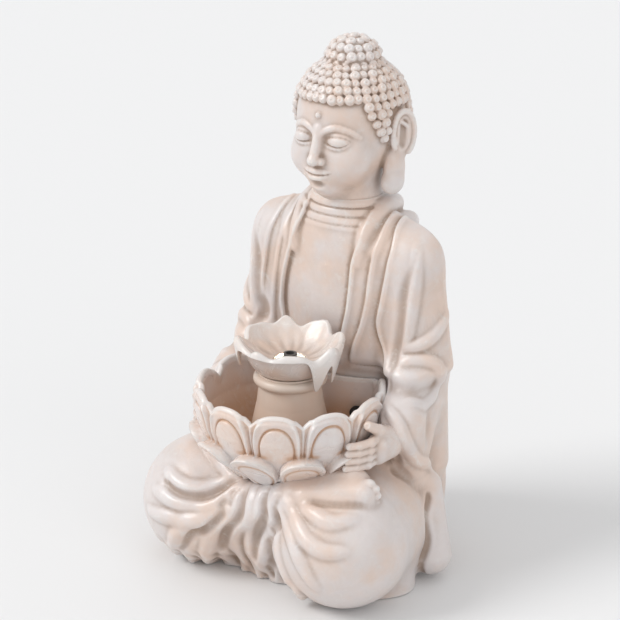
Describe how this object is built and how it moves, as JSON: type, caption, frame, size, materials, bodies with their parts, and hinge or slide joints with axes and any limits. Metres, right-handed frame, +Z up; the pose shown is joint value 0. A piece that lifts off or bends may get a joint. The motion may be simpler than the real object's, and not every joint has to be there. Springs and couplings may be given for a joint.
{
  "type": "tabletop water fountain",
  "caption": "Seated robed figure in cast resin holding a lotus basin in its lap, with a submersible pump under a lift-off pedestal, a lamp ring and a ruffled cup that the water wells up in",
  "frame": {"origin": "middle of the footprint, on the table surface", "axes": "+Z up, the figure faces -Y, +X is the figure's left side"},
  "size_m": [0.283, 0.269, 0.497],
  "materials": {
    "figure_resin": "cast polyresin, cream, satin, brown wash in the folds and pale dry brush on the ridges",
    "basin_resin": "cast polyresin, cream over brown wash, satin",
    "cup_resin": "cast polyresin, cream, satin, wet inside",
    "black_rubber": "moulded rubber",
    "pad_felt": "self-adhesive felt",
    "lamp_plastic": "black moulded plastic",
    "lamp_glow": "water-clear epoxy diodes, lit warm white",
    "lamp_clear": "clear potting epoxy",
    "tube_plastic": "soft vinyl tube, dark",
    "pump_plastic": "black moulded plastic",
    "shutter_plastic": "dark grey moulded plastic",
    "core_steel": "laminated silicon steel",
    "coil_copper": "enamelled copper winding",
    "potting_resin": "black potting epoxy",
    "magnet_ferrite": "sintered ferrite",
    "impeller_plastic": "white moulded plastic",
    "shaft_ceramic": "white alumina",
    "filter_foam": "open-cell foam",
    "board_wood": "brown hardboard",
    "screw_steel": "zinc-plated steel",
    "block_wood": "pine"
  },
  "bodies": {
    "fountain": {"figure_body": "figure_resin", "figure_head": "figure_resin", "left_hand": "figure_resin", "right_hand": "figure_resin", "lotus_basin": "basin_resin", "basin_grommet": "black_rubber", "rear_grommet": "black_rubber", "riser_tube": "tube_plastic", "pump_housing": "pump_plastic", "stator_core": "core_steel", "stator_coil": "coil_copper", "potting": "potting_resin", "cord_gland": "black_rubber", "pump_shaft": "shaft_ceramic", "shaft_bushes": "black_rubber", "volute_cover": "pump_plastic", "intake_strainer": "pump_plastic", "foam_filter": "filter_foam", "suction_cups": "black_rubber", "base_board": "board_wood", "base_screws": "screw_steel", "screw_blocks": "block_wood", "foot_pads": "pad_felt"},
    "pedestal": {"pump_cover": "basin_resin"},
    "cup": {"flower_cup": "cup_resin", "lamp_tray": "lamp_plastic", "lamp_diodes": "lamp_glow", "lamp_lens": "lamp_clear"},
    "rotor": {"rotor_magnet": "magnet_ferrite", "impeller": "impeller_plastic"},
    "shutter": {"flow_shutter": "shutter_plastic"}
  },
  "joints": [
    {"name": "cover_lift", "type": "slide", "parent": "fountain", "child": "pedestal", "axis": [0, 0, 1], "range_m": [0, 0.09]},
    {"name": "cup_lift", "type": "slide", "parent": "pedestal", "child": "cup", "axis": [0, 0, 1], "range_m": [0, 0.02]},
    {"name": "impeller_spin", "type": "hinge", "parent": "fountain", "child": "rotor", "pos_m": [0, -0.052, 0.1315], "axis": [0, 1, 0], "continuous": true},
    {"name": "flow_adjust", "type": "slide", "parent": "fountain", "child": "shutter", "axis": [1, 0, 0], "range_m": [0, 0.008]}
  ]
}
